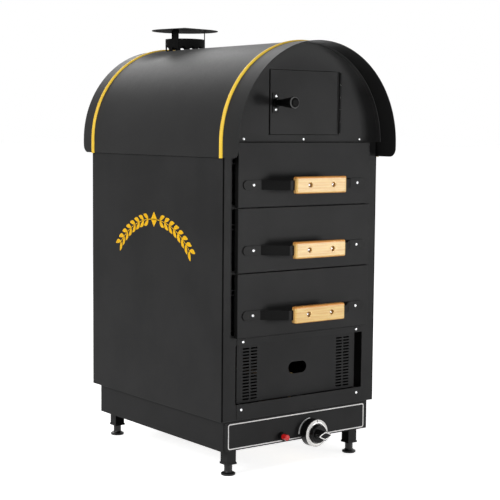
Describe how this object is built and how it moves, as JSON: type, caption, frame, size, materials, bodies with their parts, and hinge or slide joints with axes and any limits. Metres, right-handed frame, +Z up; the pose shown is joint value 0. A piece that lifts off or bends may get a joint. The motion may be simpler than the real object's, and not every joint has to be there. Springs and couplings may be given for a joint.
{
  "type": "baked potato oven",
  "caption": "Free-standing gas oven for baking potatoes, with drawers behind wooden handles, a barrel hood with a side-hung flap, a capped flue and a tap and igniter on its plinth.",
  "frame": {"origin": "on the floor, in the middle of the outer box in X and Y", "axes": "+Z up, the front with the drawers faces -Y, +X to the right for someone who faces the oven"},
  "size_m": [0.518, 0.743, 1.1512],
  "materials": {
    "powder_black": "satin powder coat",
    "trim_yellow": "gloss enamel",
    "beech": "varnished beech",
    "zinc_steel": "bright zinc",
    "galvanised": "galvanised sheet",
    "mineral_wool": "matt fibre",
    "black_plastic": "gloss bakelite",
    "matt_black": "matt moulded",
    "silver_ring": "turned",
    "red_plastic": "gloss moulded",
    "brass": "cast and machined",
    "burner_steel": "stainless, heat stained"
  },
  "bodies": {
    "cabinet": {"back_panel": "powder_black", "burner_cover": "powder_black", "burner_saddles": "burner_steel", "burner_tube": "burner_steel", "casing_floor": "powder_black", "casing_screws": "zinc_steel", "chamber_liner": "galvanised", "compartment_floor": "galvanised", "control_panel": "powder_black", "drawer_runners": "galvanised", "flue_cap": "powder_black", "flue_cap_straps": "powder_black", "flue_pipe": "powder_black", "front_frame": "powder_black", "front_gable": "powder_black", "gas_pipe": "brass", "gas_valve": "brass", "hinge_fixed_leaf": "powder_black", "hinge_pin": "zinc_steel", "hood_shell": "powder_black", "hood_trims": "trim_yellow", "igniter_body": "matt_black", "insulation_slabs": "mineral_wool", "left_side_panel": "powder_black", "leg_sockets": "powder_black", "magnet_catch": "powder_black", "pilot_assembly": "burner_steel", "plinth": "powder_black", "rear_gable": "powder_black", "right_side_panel": "powder_black", "supply_pipe": "brass"},
    "drawer_1": {"drawer_front_1": "powder_black", "drawer_tray_1": "galvanised", "handle_strap_1": "powder_black", "handle_grip_1": "beech", "handle_screws_1": "zinc_steel"},
    "drawer_2": {"drawer_front_2": "powder_black", "drawer_tray_2": "galvanised", "handle_strap_2": "powder_black", "handle_grip_2": "beech", "handle_screws_2": "zinc_steel"},
    "drawer_3": {"drawer_front_3": "powder_black", "drawer_tray_3": "galvanised", "handle_strap_3": "powder_black", "handle_grip_3": "beech", "handle_screws_3": "zinc_steel"},
    "flap": {"gable_flap": "powder_black", "hinge_moving_leaf": "powder_black", "flap_knob_plate": "powder_black", "flap_knob": "black_plastic", "flap_screws": "zinc_steel"},
    "tap_plunger": {"valve_plunger": "zinc_steel"},
    "tap_knob": {"gas_knob": "black_plastic", "gas_knob_ring": "silver_ring", "valve_spindle": "zinc_steel"},
    "igniter_push": {"igniter_button": "red_plastic"},
    "levelling_front_left": {"foot_front_left": "powder_black"},
    "levelling_front_right": {"foot_front_right": "powder_black"},
    "levelling_rear_left": {"foot_rear_left": "powder_black"},
    "levelling_rear_right": {"foot_rear_right": "powder_black"}
  },
  "joints": [
    {"name": "drawer_1_slide", "type": "slide", "parent": "cabinet", "child": "drawer_1", "axis": [0, -1, 0], "range_m": [0, 0.42]},
    {"name": "drawer_2_slide", "type": "slide", "parent": "cabinet", "child": "drawer_2", "axis": [0, -1, 0], "range_m": [0, 0.42]},
    {"name": "drawer_3_slide", "type": "slide", "parent": "cabinet", "child": "drawer_3", "axis": [0, -1, 0], "range_m": [0, 0.42]},
    {"name": "flap_hinge", "type": "hinge", "parent": "cabinet", "child": "flap", "pos_m": [0.1185, -0.297, 0.935], "axis": [0, 0, 1], "range_deg": [0, 110]},
    {"name": "tap_push", "type": "slide", "parent": "cabinet", "child": "tap_plunger", "axis": [0, 1, 0], "range_m": [0, 0.003], "stiffness_N_per_m": 600},
    {"name": "tap_turn", "type": "hinge", "parent": "tap_plunger", "child": "tap_knob", "pos_m": [0.042, -0.2895, 0.083], "axis": [0, 1, 0], "range_deg": [-90, 0]},
    {"name": "igniter_press", "type": "slide", "parent": "cabinet", "child": "igniter_push", "axis": [0, 1, 0], "range_m": [0, 0.006], "stiffness_N_per_m": 600},
    {"name": "front_left_foot_turn", "type": "hinge", "parent": "cabinet", "child": "levelling_front_left", "pos_m": [-0.202, -0.257, 0.028], "axis": [0, 0, 1], "continuous": true},
    {"name": "front_right_foot_turn", "type": "hinge", "parent": "cabinet", "child": "levelling_front_right", "pos_m": [0.202, -0.257, 0.028], "axis": [0, 0, 1], "continuous": true},
    {"name": "rear_left_foot_turn", "type": "hinge", "parent": "cabinet", "child": "levelling_rear_left", "pos_m": [-0.202, 0.277, 0.028], "axis": [0, 0, 1], "continuous": true},
    {"name": "rear_right_foot_turn", "type": "hinge", "parent": "cabinet", "child": "levelling_rear_right", "pos_m": [0.202, 0.277, 0.028], "axis": [0, 0, 1], "continuous": true}
  ]
}
